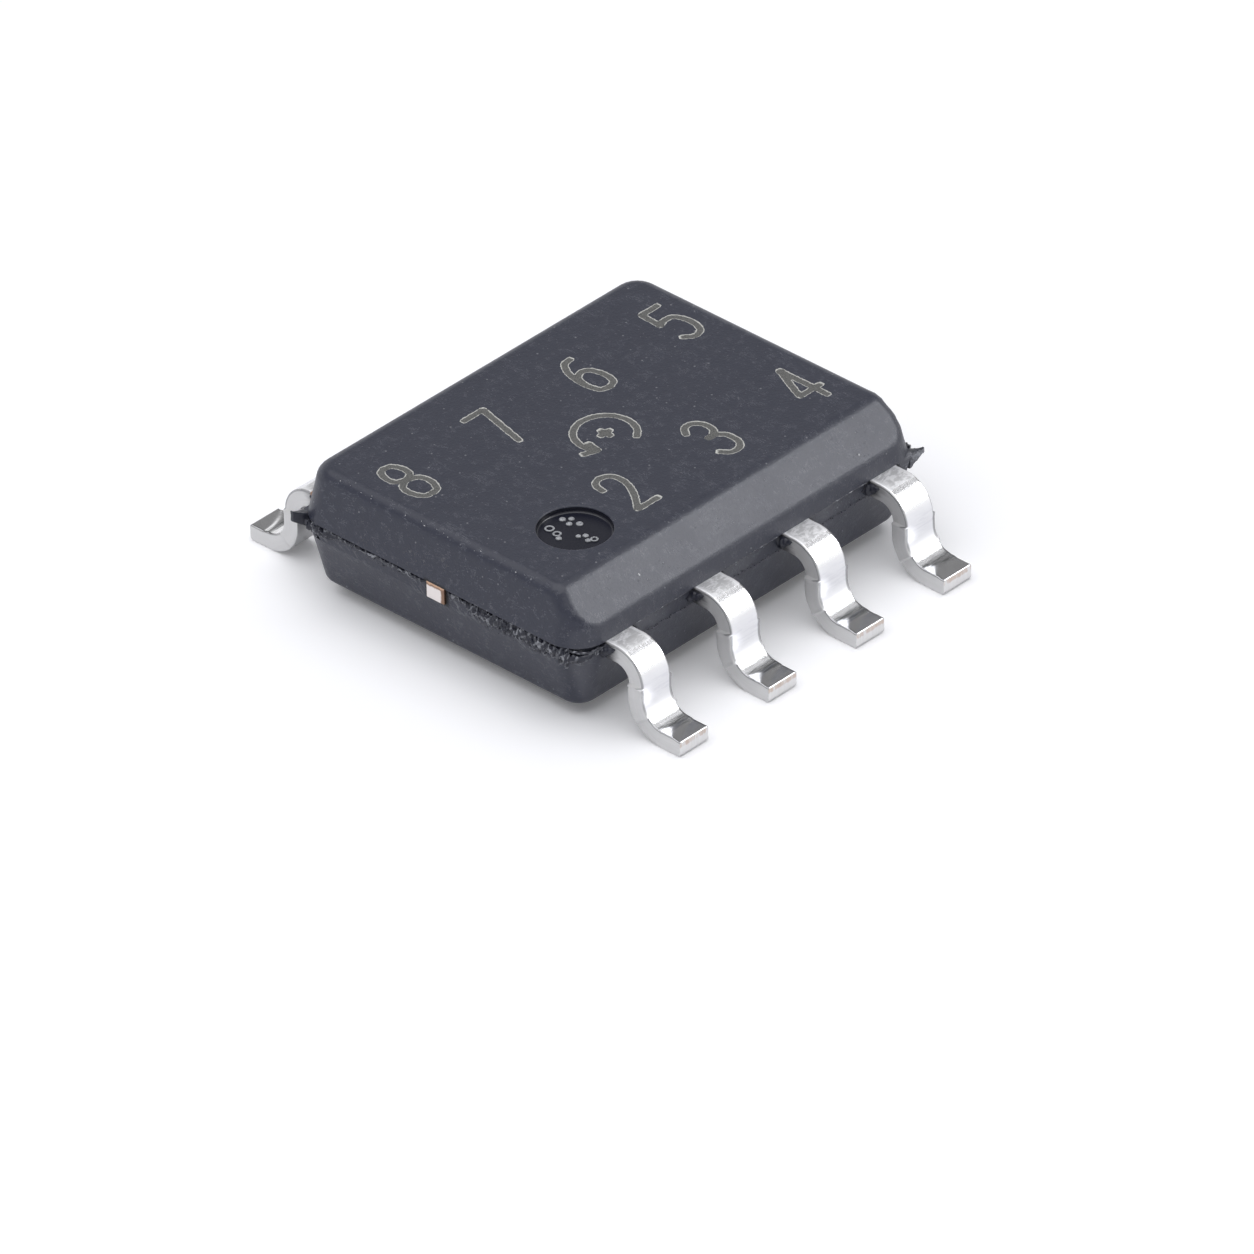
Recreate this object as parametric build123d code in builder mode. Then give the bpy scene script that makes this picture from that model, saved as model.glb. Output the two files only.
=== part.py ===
from build123d import *

import os
from math import radians, tan

# Frame: X along the package, leads 1 to 4 on the -Y side with lead 1 at -X, leads 5 to 8 on the +Y
# side, +Z up. Z = 0 is the board that the lead feet stand on. All sizes are in millimetres.

# Lead frame
lead_pitch = 1.27
leads_per_side = 4
lead_span = 5.86
lead_thickness = 0.19
lead_width = 0.385
foot_width = 0.40
shoulder_width = 0.43
lead_top = 0.935
upper_bend_radius = 0.17
lower_bend_radius = 0.25
foot_flat = 0.24
shoulder_sweep = 42
toe_round = 0.04

# Moulded housing
body_length = 4.96
body_width = 3.90
standoff = 0.15
body_thickness = 1.34
draft_angle = 13
corner_radius = 0.37
bevel_drop = 0.37
top_edge_round = 0.155
bevel_edge_round = 0.16
bottom_edge_round = 0.11
seam_recess = 0.03

# Pin-1 dimple, and the ejector mark underneath
dimple_diameter = 0.77
dimple_depth = 0.07
dimple_edge_round = 0.015
dimple_from_end = 1.05
dimple_from_side = 1.03
ejector_diameter = 1.0
ejector_depth = 0.03

# Mould flash left at the parting line
flash_thickness = 0.04
flash_reach = 0.03
flash_tie_bar_gap = 0.04
flash_tab_reach = 0.06
flash_tab_length = 0.32

# Island that carries the die, and the fingers round it
island_length = 2.8
island_width = 1.9
island_drop = 0.15
tie_bar_width = 0.24
tie_bar_level_length = 0.75
tie_bar_slope_length = 0.2
finger_gap = 0.15
finger_tip_width = 0.6
finger_taper = 0.2
finger_tip_length = 0.25
end_finger_width = 0.4
end_finger_elbow = 0.5
tie_bar_gap = 0.2

# Die, its adhesive and its pads
die_length = 1.8
die_width = 1.4
die_thickness = 0.25
adhesive_thickness = 0.02
adhesive_margin = 0.05
pad_inset = 0.1
inner_pad_offset = 0.28
outer_pad_offset = 0.75

# Bond wires
wire_diameter = 0.025
wire_loop = 0.14
wire_crest = 0.3
ball_diameter = 0.07
ball_height = 0.02
stitch_length = 0.07
stitch_width = 0.05
stitch_height = 0.015
stitch_from_tip = 0.12

# Heights and places worked out from the sizes above
body_top = standoff + body_thickness
lead_bottom = lead_top - lead_thickness
draft_slope = tan(radians(draft_angle))
island_top = lead_top - island_drop
die_bottom = island_top + adhesive_thickness
die_top = die_bottom + die_thickness
finger_tip_y = island_width / 2 + finger_gap
lower_bend_y = lead_span / 2 - foot_flat
leg_inner_y = lower_bend_y - lower_bend_radius - lead_thickness
upper_bend_y = leg_inner_y - upper_bend_radius


def way_and_place(pin):
    """Which way a pin's row faces, 1 for -Y and -1 for +Y, and the pin's place along its row."""
    row, place = divmod(pin - 1, leads_per_side)
    return 1 - 2 * row, place


def row_plane(way, height):
    """A level plane turned with a row, so that both rows are drawn alike."""
    return Plane(origin=(0, 0, height), x_dir=(way, 0, 0), z_dir=(0, 0, 1))


def lead_centre(place):
    """Distance of a lead from the middle of its row."""
    return (place - (leads_per_side - 1) / 2) * lead_pitch


def is_end_lead(place):
    return place in (0, leads_per_side - 1)


def finger_outline(place):
    """Plan of the embedded finger of one lead, from the housing's wall to the tip beside the island."""
    centre = lead_centre(place)
    hand = 1 if centre > 0 else -1
    near = abs(centre) - lead_width / 2
    far = abs(centre) + lead_width / 2
    wall = body_width / 2
    if is_end_lead(place):
        tip_near = island_length / 2 + finger_gap
        tip_far = tip_near + end_finger_width
        tip_end = tie_bar_width / 2 + tie_bar_gap
        elbow = finger_tip_y + finger_taper
        points = [
            (near, wall),
            (near, elbow),
            (tip_near, finger_tip_y),
            (tip_near, tip_end),
            (tip_far, tip_end),
            (far, tip_end + end_finger_elbow),
            (far, wall),
        ]
    else:
        tip_near = abs(centre) - finger_tip_width / 2
        tip_far = abs(centre) + finger_tip_width / 2
        shoulder = finger_tip_y + finger_tip_length
        points = [
            (near, wall),
            (near, shoulder + finger_taper),
            (tip_near, shoulder),
            (tip_near, finger_tip_y),
            (tip_far, finger_tip_y),
            (tip_far, shoulder),
            (far, shoulder + finger_taper),
            (far, wall),
        ]
    return [(hand * x, -y) for x, y in points]


def build_lead(pin):
    """A formed gull-wing lead: run, upper bend, leg with the dam-bar shoulders, lower bend and foot."""
    way, place = way_and_place(pin)
    side = Plane(origin=(way * lead_centre(place), 0, 0), x_dir=(0, -way, 0), z_dir=(-way, 0, 0))
    frame_middle = lead_top - lead_thickness / 2
    upper_radius = upper_bend_radius + lead_thickness / 2
    lower_radius = lower_bend_radius + lead_thickness / 2
    leg_end = lower_bend_radius + lead_thickness
    with BuildPart() as lead:
        # The run out of the housing and the upper bend
        with BuildSketch(side):
            with BuildLine():
                run = Line((body_width / 2, frame_middle), (upper_bend_y, frame_middle))
                bend = JernArc(run @ 1, run % 1, upper_radius, -90)
            trace(line_width=lead_thickness)
        extrude(amount=lead_width / 2, both=True)
        # The leg and the first part of the lower bend, left wider where the dam bar was cut away
        with BuildSketch(side):
            with BuildLine():
                leg = Line(bend @ 1, ((bend @ 1).X, leg_end))
                shoulder = JernArc(leg @ 1, leg % 1, lower_radius, shoulder_sweep)
            trace(line_width=lead_thickness)
        extrude(amount=shoulder_width / 2, both=True)
        # The rest of the lower bend and the foot
        with BuildSketch(side):
            with BuildLine():
                heel = JernArc(shoulder @ 1, shoulder % 1, lower_radius, 90 - shoulder_sweep)
                Line(heel @ 1, (lead_span / 2, lead_thickness / 2))
            trace(line_width=lead_thickness)
        extrude(amount=foot_width / 2, both=True)
        # The finger inside the housing
        with BuildSketch(row_plane(way, lead_top)):
            with BuildLine():
                Polyline(*finger_outline(place), close=True)
            make_face()
        extrude(amount=-lead_thickness)
        # The sheared toe is rolled over at its lower edge
        outward = Axis((0, 0, 0), side.x_dir)
        fillet(lead.faces().sort_by(outward)[-1].edges().sort_by(Axis.Z)[0], toe_round)
    return lead


def die_pad(pin):
    """Centre of the die pad that a lead is wired to."""
    way, place = way_and_place(pin)
    hand = 1 if lead_centre(place) > 0 else -1
    offset = outer_pad_offset if is_end_lead(place) else inner_pad_offset
    return Vector(way * hand * offset, way * (pad_inset - die_width / 2), die_top)


def stitch_place(pin):
    """Place on a lead's finger where its wire is stitched down."""
    way, place = way_and_place(pin)
    centre = lead_centre(place)
    if is_end_lead(place):
        hand = 1 if centre > 0 else -1
        x = hand * (island_length / 2 + finger_gap + end_finger_width / 2)
        y = -(tie_bar_width / 2 + tie_bar_gap + end_finger_elbow)
    else:
        x = centre
        y = -(finger_tip_y + stitch_from_tip)
    return Vector(way * x, way * y, lead_top)


def build_bond_wire(pin):
    """A gold wire with its ball on the die and its stitch on the lead's finger."""
    pad = die_pad(pin)
    stitch = stitch_place(pin)
    across = Vector(stitch.X - pad.X, stitch.Y - pad.Y, 0)
    span = across.length
    fall = stitch.Z + wire_diameter / 2 - pad.Z
    with BuildPart() as wire:
        with BuildLine(Plane(origin=pad, x_dir=across, z_dir=across.cross(Vector(0, 0, 1)))) as route:
            Polyline(
                (0, ball_height),
                (0, wire_loop),
                (wire_crest * span, wire_loop),
                (span, fall),
            )
        with BuildSketch(Plane(origin=route.line @ 0, z_dir=route.line % 0)):
            Circle(wire_diameter / 2)
        sweep(path=route.line, transition=Transition.RIGHT)
        with BuildSketch(Plane(origin=pad, z_dir=(0, 0, 1))):
            Circle(ball_diameter / 2)
        extrude(amount=ball_height)
        with BuildSketch(Plane(origin=stitch, x_dir=across, z_dir=(0, 0, 1))):
            Rectangle(stitch_length, stitch_width)
        extrude(amount=stitch_height)
    return wire


# Island with its two tie bars, stepped down from the lead frame's level
with BuildPart() as die_paddle:
    with BuildSketch(Plane.XY.offset(island_top)):
        Rectangle(island_length, island_width)
    extrude(amount=-lead_thickness)
    for end in (-1, 1):
        level = lead_top - lead_thickness / 2
        step_x = body_length / 2 - tie_bar_level_length
        root_x = step_x - tie_bar_slope_length
        with BuildSketch(Plane.XZ):
            with BuildLine():
                Polyline(
                    (end * island_length / 4, level - island_drop),
                    (end * root_x, level - island_drop),
                    (end * step_x, level),
                    (end * body_length / 2, level),
                )
            trace(line_width=lead_thickness)
        extrude(amount=tie_bar_width / 2, both=True)

with BuildPart() as die_attach:
    with BuildSketch(Plane.XY.offset(island_top)):
        Rectangle(die_length + 2 * adhesive_margin, die_width + 2 * adhesive_margin)
    extrude(amount=adhesive_thickness)

with BuildPart() as sensor_die:
    with BuildSketch(Plane.XY.offset(die_bottom)):
        Rectangle(die_length, die_width)
    extrude(amount=die_thickness)

pins = range(1, 2 * leads_per_side + 1)
leads = {pin: build_lead(pin) for pin in pins}
bond_wires = {pin: build_bond_wire(pin) for pin in pins}


# The moulded housing, cast round the lead frame, the die and the wires
upper_height = body_top - lead_top
lower_height = lead_bottom - standoff
bevel_low_z = body_top - bevel_drop
bevel_low_y = (upper_height - bevel_drop) * draft_slope - body_width / 2

with BuildPart() as mold_body:
    # Upper half: drafted walls, and the bevel over leads 1 to 4
    with BuildSketch(Plane.XY.offset(lead_top)):
        RectangleRounded(body_length, body_width, corner_radius)
    extrude(amount=upper_height, taper=draft_angle)
    with BuildSketch(Plane.YZ):
        with BuildLine():
            Polyline(
                (bevel_low_y, bevel_low_z),
                (bevel_low_y + bevel_drop, body_top),
                (bevel_low_y + bevel_drop, body_top + bevel_drop),
                (bevel_low_y - bevel_drop, body_top + bevel_drop),
                (bevel_low_y - bevel_drop, bevel_low_z - bevel_drop),
                close=True,
            )
        make_face()
    extrude(amount=body_length, both=True, mode=Mode.SUBTRACT)
    # Rounded edges: the bevel's two long edges, then the top's rim and the bevel's ends
    bevel_normal = Axis((0, 0, 0), (0, -1, 1))
    bevel_face = mold_body.faces().filter_by(bevel_normal)[0]
    fillet(bevel_face.edges().filter_by(Axis.X), bevel_edge_round)
    top_face = mold_body.faces().sort_by(Axis.Z)[-1]
    bevel_face = mold_body.faces().filter_by(bevel_normal)[0]
    rim_edges = top_face.edges().sort_by(Axis.Y)[1:]
    bevel_ends = bevel_face.edges() - bevel_face.edges().filter_by(Axis.X)
    fillet(rim_edges + bevel_ends, top_edge_round)
    # Pin-1 dimple
    with BuildSketch(Plane.XY.offset(body_top)):
        with Locations((dimple_from_end - body_length / 2, dimple_from_side - body_width / 2)):
            Circle(dimple_diameter / 2)
    extrude(amount=-dimple_depth, mode=Mode.SUBTRACT)
    top_face = mold_body.faces().sort_by(Axis.Z)[-1]
    fillet(top_face.inner_wires()[0].edges(), dimple_edge_round)
    # Lower half, with the ejector mark underneath
    with BuildSketch(Plane((0, 0, lead_bottom), z_dir=(0, 0, -1))):
        RectangleRounded(
            body_length - 2 * seam_recess, body_width - 2 * seam_recess, corner_radius - seam_recess
        )
    extrude(amount=lower_height, taper=draft_angle)
    fillet(mold_body.faces().sort_by(Axis.Z)[0].edges(), bottom_edge_round)
    with BuildSketch(Plane.XY.offset(standoff)):
        Circle(ejector_diameter / 2)
    extrude(amount=ejector_depth, mode=Mode.SUBTRACT)
    # Resin at the lead frame's level, between the two halves
    with BuildSketch(Plane.XY.offset(lead_bottom)):
        RectangleRounded(
            body_length - 2 * seam_recess, body_width - 2 * seam_recess, corner_radius - seam_recess
        )
    extrude(amount=lead_thickness)
    # Flash along both short ends, open at the tie bars
    with BuildSketch(Plane.XY.offset(lead_top)):
        flash_length = body_length + 2 * flash_reach
        Rectangle(flash_length, body_width - 2 * corner_radius)
        Rectangle(flash_length, tie_bar_width + 2 * flash_tie_bar_gap, mode=Mode.SUBTRACT)
    extrude(amount=-flash_thickness)
    # Torn flash tabs at two opposite corners
    seam_x = body_length / 2 - seam_recess
    seam_y = body_width / 2 - seam_recess
    for way in (1, -1):
        with BuildSketch(row_plane(way, lead_bottom)):
            with BuildLine():
                Polyline(
                    (seam_x - corner_radius, -seam_y),
                    (body_length / 2 + flash_tab_reach, -seam_y),
                    (seam_x, flash_tab_length - seam_y),
                    (seam_x - corner_radius, flash_tab_length - seam_y),
                    close=True,
                )
            make_face()
        extrude(amount=lead_thickness)
    # Everything that is cast in leaves its own shape in the resin
    for piece in [die_paddle, die_attach, sensor_die, *leads.values(), *bond_wires.values()]:
        add(piece.part, mode=Mode.SUBTRACT)

pieces = {
    "mold_body": mold_body,
    "die_paddle": die_paddle,
    "die_attach": die_attach,
    "sensor_die": sensor_die,
}
for pin in pins:
    pieces[f"lead_{pin}"] = leads[pin]
    pieces[f"bond_wire_{pin}"] = bond_wires[pin]

os.makedirs("parts", exist_ok=True)
for name, piece in pieces.items():
    piece.part.label = name
    export_step(piece.part, f"parts/{name}.step")
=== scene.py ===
import math
import random

import bmesh
import bpy
import numpy as np
from mathutils import Matrix, Vector, noise
from mathutils.geometry import delaunay_2d_cdt


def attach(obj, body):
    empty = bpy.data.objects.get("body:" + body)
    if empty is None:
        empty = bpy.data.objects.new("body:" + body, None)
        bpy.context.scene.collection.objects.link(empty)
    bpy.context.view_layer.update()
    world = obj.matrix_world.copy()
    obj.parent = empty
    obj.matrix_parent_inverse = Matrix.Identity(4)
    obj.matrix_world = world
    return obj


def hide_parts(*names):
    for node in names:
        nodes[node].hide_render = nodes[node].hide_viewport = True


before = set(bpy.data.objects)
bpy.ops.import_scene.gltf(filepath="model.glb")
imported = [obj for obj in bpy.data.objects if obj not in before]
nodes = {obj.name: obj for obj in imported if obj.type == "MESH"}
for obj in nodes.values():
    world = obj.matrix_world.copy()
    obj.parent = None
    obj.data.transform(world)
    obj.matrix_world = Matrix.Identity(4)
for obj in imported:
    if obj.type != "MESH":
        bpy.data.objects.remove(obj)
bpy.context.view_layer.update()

# The frame is the part's own: X along the package, leads 1 to 4 on the -Y side, Z up from the board.
# Everything is drawn in millimetres, and a finished mesh is scaled to metres.
MM = 0.001

# Camera
view_azimuth = -45.807
view_height = 33.754
view_roll = -1.587
view_distance = 208.12
view_aim = (-0.1667, -0.3681, -0.5629)
view_lens = 602.2

# Housing
housing_top = 1.49
half_length = 2.48
half_width = 1.95
draft_angle = 13
frame_top = 0.935
frame_bottom = 0.745
seam_x = 2.45
seam_y = 1.92
tab_stub_low = 2.27
tab_stub_high = 2.35
tab_root = 2.33
tab_tip = 2.537
flash_limit = 2.538
dimple_centre = (-1.43, -0.92)
dimple_radius = 0.385
dimple_floor = 1.42
dimple_edge = 0.015
dimple_cove = 0.022
dimple_dots = [
    (-1.335, -0.66, 0.040),
    (-1.270, -0.72, 0.036),
    (-1.350, -0.765, 0.038),
    (-1.280, -0.84, 0.042),
    (-1.605, -0.865, 0.036),
    (-1.450, -0.985, 0.032),
    (-1.395, -1.03, 0.036),
    (-1.440, -1.105, 0.034),
]
dimple_rings = [(-1.540, -0.680, 0.042), (-1.560, -0.80, 0.036), (-1.385, -1.14, 0.032)]

# Leads
lead_pitch = 1.27
thickness = 0.19
buried_start = 0.03
upper_bend_start = 2.08
upper_bend_radius = 0.265
leg_end_height = 0.44
lower_bend_radius = 0.345
toe_end = 2.93
neck_width = 0.385
shoulder_width = 0.43
foot_width = 0.40
shoulder_sweep = 42
toe_round = 0.04


class Value:
    """A value in a node tree. Arithmetic on it adds the Math nodes, and node() adds any other node."""

    def __init__(self, tree, socket=None):
        self.tree = tree
        self.socket = socket

    def node(self, kind, settings=None, values=None, output=0):
        made = self.tree.nodes.new(kind)
        for key, setting in (settings or {}).items():
            if key == "stops":
                ramp = made.color_ramp.elements
                while len(ramp) < len(setting):
                    ramp.new(0.5)
                for element, (place, colour) in zip(ramp, setting):
                    element.position = place
                    element.color = colour
            else:
                setattr(made, key, setting)
        for key, value in (values or {}).items():
            if isinstance(value, Value):
                self.tree.links.new(value.socket, made.inputs[key])
            else:
                made.inputs[key].default_value = value
        return Value(self.tree, made.outputs[output] if len(made.outputs) else None)

    def maths(self, operation, *terms):
        return self.node("ShaderNodeMath", {"operation": operation}, dict(enumerate(terms)))

    def __add__(self, other):
        return self.maths("ADD", self, other)

    def __radd__(self, other):
        return self.maths("ADD", other, self)

    def __sub__(self, other):
        return self.maths("SUBTRACT", self, other)

    def __rsub__(self, other):
        return self.maths("SUBTRACT", other, self)

    def __mul__(self, other):
        return self.maths("MULTIPLY", self, other)

    def __rmul__(self, other):
        return self.maths("MULTIPLY", other, self)

    def __abs__(self):
        return self.maths("ABSOLUTE", self)

    def least(self, other):
        return self.maths("MINIMUM", self, other)

    def between(self, low, high):
        """0 up to low, 1 from high on, and a soft step between them; the other way round where low > high."""
        return self.node(
            "ShaderNodeMapRange",
            {"interpolation_type": "SMOOTHSTEP"},
            {"Value": self, "From Min": low, "From Max": high},
        )


class Finish:
    """A material being built: its coordinates in millimetres, its patterns and its surface."""

    def __init__(self, name):
        self.material = bpy.data.materials.new(name)
        self.material.use_nodes = True
        self.tree = self.material.node_tree
        self.tree.nodes.clear()
        self.start = Value(self.tree)
        self.at = self.scaled(self.start.node("ShaderNodeTexCoord", output=3), (1000, 1000, 1000))
        self.x, self.y, self.z = self.split(self.at)

    def scaled(self, vector, amounts):
        return self.start.node(
            "ShaderNodeVectorMath", {"operation": "MULTIPLY"}, {0: vector, 1: amounts}
        )

    def split(self, vector):
        first = self.start.node("ShaderNodeSeparateXYZ", values={0: vector})
        outputs = first.socket.node.outputs
        return [Value(self.tree, socket) for socket in outputs]

    def joined(self, x, y, z):
        return self.start.node("ShaderNodeCombineXYZ", values={0: x, 1: y, 2: z})

    def attribute(self, name):
        return self.start.node("ShaderNodeAttribute", {"attribute_name": name}, output=2)

    def sheet(self):
        """Across and along a lead, in millimetres, from its own UV map."""
        return self.start.node("ShaderNodeUVMap", {"uv_map": "sheet"})

    def noise(self, vector, scale, detail=2.0, roughness=0.5, distortion=0.0):
        return self.start.node(
            "ShaderNodeTexNoise",
            values={
                "Vector": vector,
                "Scale": scale,
                "Detail": detail,
                "Roughness": roughness,
                "Distortion": distortion,
            },
        )

    def cells(self, vector, scale):
        """Distance to the nearest of many scattered points, and a random value for that point."""
        near = self.start.node("ShaderNodeTexVoronoi", values={"Vector": vector, "Scale": scale})
        colour = Value(self.tree, near.socket.node.outputs["Color"])
        return near, self.split(colour)[0]

    def specks(self, vector, scale, share, size):
        """A mask of scattered dots: share of the cells have one, size is a share of a cell."""
        near, chance = self.cells(vector, scale)
        return near.between(size, size * 0.45) * chance.between(1 - share, 1 - share + 0.02)

    def mix(self, mask, first, second):
        return self.start.node(
            "ShaderNodeMix", {"data_type": "RGBA"}, {0: mask, 6: first, 7: second}, output=2
        )

    def surface(self, bump=None, depth=0.001, **sockets):
        """Ends the material: bump is a height from 0 to 1, and depth what 1 stands for, in millimetres."""
        if bump is not None:
            sockets["Normal"] = self.start.node(
                "ShaderNodeBump", values={"Height": bump, "Distance": depth * MM, "Strength": 1.0}
            )
        named = {key.replace("_", " "): value for key, value in sockets.items()}
        shader = self.start.node("ShaderNodeBsdfPrincipled", values=named)
        self.start.node("ShaderNodeOutputMaterial", values={0: shader})
        return self.material


def mould_finish():
    """Black epoxy from the mould: fine grain, pale filler flecks, frosting by the parting line."""
    made = Finish("mould compound")
    grain = made.noise(made.at, 38, 4, 0.65)
    cloud = made.noise(made.at, 1.6, 4, 0.6)
    mottle = made.noise(made.at, 9, 4, 0.65)
    flecks = made.specks(made.at, 15, 0.10, 0.2)
    fine = made.specks(made.at, 34, 0.10, 0.24)
    hairs = made.noise(made.scaled(made.at, (14, 3, 8)), 1, 5, 0.75, 1.5)
    scratches = abs(hairs - 0.5).between(0.012, 0.003) * mottle.between(0.50, 0.58)
    ends = abs(made.x).between(2.2, 2.32)
    # Streaks dragged down and along the lower half, under the torn flash
    dragged = made.joined(made.x, 9 * (made.y * 0.8 + made.z * 0.6), 30 * (made.z * 0.8 - made.y * 0.6))
    streaks = made.noise(dragged, 1, 4, 0.7, 0.4)
    under = made.z.between(0.62, 0.80) * made.z.between(0.95, 0.93)
    patch = made.noise(made.at, 2.3, 3, 0.6)
    near_lead_1 = made.y.between(0.1, -0.5)
    frost = ends * under * streaks.between(0.50, 0.62) * patch.between(0.40, 0.56) * (0.4 + 0.6 * near_lead_1)
    # Painted shade: the gap round each cut tie bar is darkened in colour
    tie_bar_gap_shade = abs(made.x).between(2.38, 2.44) * abs(made.y).between(0.175, 0.135)
    tie_bar_gap_shade = tie_bar_gap_shade * made.z.between(0.695, 0.735) * made.z.between(0.975, 0.940)
    # Paler patches over the lower part of each end's upper half, just above the parting line
    wall = ends * made.z.between(0.94, 1.0) * made.z.between(1.36, 1.2)
    lightening = made.noise(made.at, 20, 5, 0.8, 1.0)
    pale_end_patches = wall * lightening.between(0.57, 0.68) * patch.between(0.44, 0.56)
    # Painted light: the long sides are made paler than the rest, most of all below the leads
    painted_side_light = abs(made.y).between(1.70, 1.80) * made.z.between(1.15, 1.09)
    painted_side_light = painted_side_light * (0.09 + 0.10 * made.z.between(0.94, 0.90))
    pale = (0.6 * flecks + 0.35 * fine + 0.75 * frost + 0.5 * pale_end_patches + 0.45 * scratches + painted_side_light).least(1.0)
    colour = made.mix(mottle, (0.0095, 0.0120, 0.0285, 1), (0.0165, 0.0205, 0.0420, 1))
    colour = made.mix(pale, colour, (0.24, 0.245, 0.27, 1))
    # Painted shade in the gap round each cut tie bar
    colour = made.mix(0.85 * tie_bar_gap_shade, colour, (0.002, 0.002, 0.003, 1))
    height = grain + 0.8 * mottle + 0.8 * flecks + 0.8 * fine + 1.8 * frost * streaks + 1.0 * pale_end_patches
    return made.surface(
        bump=height,
        depth=0.0030,
        Base_Color=colour,
        Roughness=0.33 + 0.10 * cloud + 0.1 * frost + 0.3 * tie_bar_gap_shade,
        Specular_IOR_Level=0.62,
    )


def dimple_finish():
    """The dimple's floor and wall, smoother and darker than the faces round it."""
    made = Finish("moulded dimple")
    grain = made.noise(made.at, 30, 2, 0.5)
    cloud = made.noise(made.at, 3, 3, 0.5)
    colour = made.mix(cloud, (0.0050, 0.0058, 0.0140, 1), (0.0078, 0.0088, 0.0190, 1))
    return made.surface(bump=grain, depth=0.0005, Base_Color=colour, Roughness=0.22 + 0.06 * cloud)


def raised_dot_finish():
    """The small raised dots on the dimple's floor, glossy, with their tops painted pale as a highlight."""
    made = Finish("raised dots")
    grain = made.noise(made.at, 60, 3, 0.6)
    # Painted highlight: the upper part of each dot is made pale
    lightening = made.z.between(dimple_floor + 0.004, dimple_floor + 0.014)
    colour = made.mix(lightening * grain.between(0.2, 0.6), (0.03, 0.032, 0.04, 1), (0.40, 0.41, 0.43, 1))
    return made.surface(bump=grain, depth=0.002, Base_Color=colour, Roughness=0.18 + 0.1 * grain)


def mark_finish():
    """Laser-marked resin: grey frosted core, paler where the beam's edge has left a rim."""
    made = Finish("laser mark")
    grain = made.noise(made.at, 70, 4, 0.7)
    patch = made.noise(made.at, 16, 3, 0.6)
    rim = (made.attribute("rim") + 0.5 * (patch - 0.5)).between(0.30, 0.85)
    colour = made.mix(grain.between(0.3, 0.7), (0.060, 0.060, 0.058, 1), (0.15, 0.15, 0.142, 1))
    colour = made.mix(rim * grain.between(0.2, 0.5), colour, (0.60, 0.60, 0.56, 1))
    return made.surface(bump=grain, depth=0.004, Base_Color=colour, Roughness=0.62 - 0.15 * rim)


def flash_finish():
    """Torn mould flash: dark between its lumps, silvery where it is thin and broken, with painted glints on
    its crests.
    """
    made = Finish("torn flash")
    crest = made.attribute("crest")
    grain = made.noise(made.at, 26, 4, 0.65)
    lumps = made.noise(made.at, 9, 3, 0.6)
    # Painted glints: pale specks of colour on the flash's crests
    painted_glint = made.specks(made.at, 22, 0.25, 0.40)
    pale = crest.between(0.52, 0.90) * (0.45 + 0.55 * grain.between(0.40, 0.58))
    pale = pale * (0.35 + 0.65 * lumps.between(0.42, 0.56))
    pale = (pale + 0.6 * painted_glint * crest).least(1.0)
    colour = made.mix(pale, (0.018, 0.020, 0.033, 1), (0.33, 0.34, 0.37, 1))
    return made.surface(bump=grain, depth=0.006, Base_Color=colour, Roughness=0.36 - 0.12 * pale)


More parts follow.
